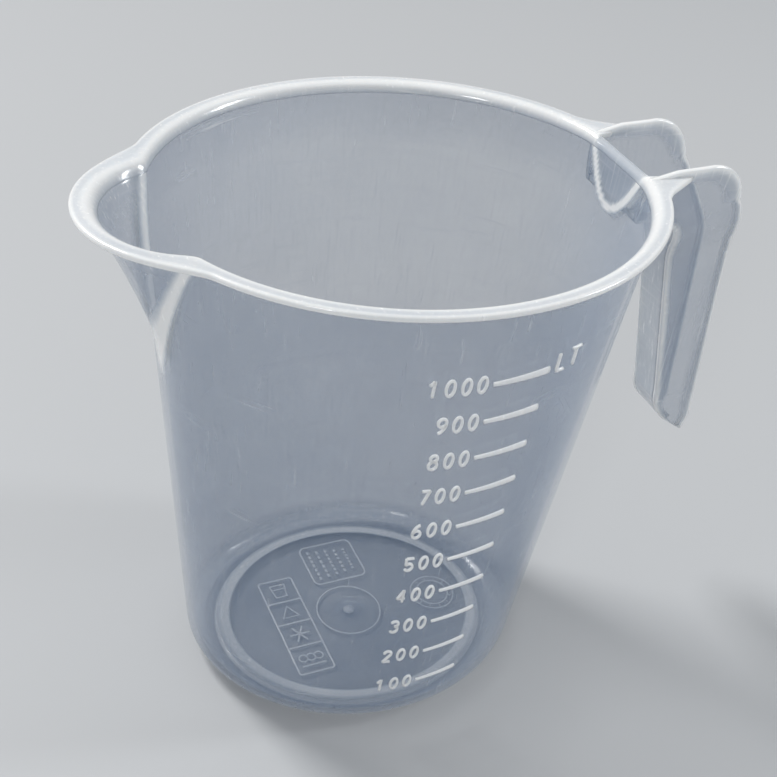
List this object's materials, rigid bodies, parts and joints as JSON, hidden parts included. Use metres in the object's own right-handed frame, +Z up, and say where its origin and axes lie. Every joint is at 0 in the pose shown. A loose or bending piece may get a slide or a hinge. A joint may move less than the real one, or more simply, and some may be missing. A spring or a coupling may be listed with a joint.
{
  "type": "measuring jug",
  "caption": "Translucent plastic measuring jug with a tapering oval body, raised graduations, a pouring spout, a flanged rim and an open hook handle.",
  "frame": {"origin": "on the jug's upright axis, in the plane of the table that the foot ring stands on", "axes": "+Z up, the spout along -X, the handle along +X, the graduations on the -Y side"},
  "size_m": [0.1853, 0.118, 0.1519],
  "materials": {
    "translucent_wall": "natural polypropylene, translucent, glossy with fine scratches",
    "milky_edge": "the same natural polypropylene where it is seen edge on, milky",
    "raised_mark": "the same natural polypropylene in low relief"
  },
  "bodies": {
    "root": {"floor_panel": "translucent_wall", "base_heel": "translucent_wall", "container_wall": "translucent_wall", "handle_flat_panel": "translucent_wall", "pouring_spout": "translucent_wall", "handle_near_cheek": "translucent_wall", "handle_far_cheek": "translucent_wall", "handle_web": "translucent_wall", "rim_flange": "milky_edge", "foot_ring": "milky_edge", "graduation_ticks": "raised_mark", "graduation_numerals": "raised_mark", "litre_mark": "raised_mark", "gate_nub": "raised_mark", "base_circles": "raised_mark", "base_pictograms": "raised_mark", "base_bar_block": "raised_mark"}
  },
  "joints": []
}
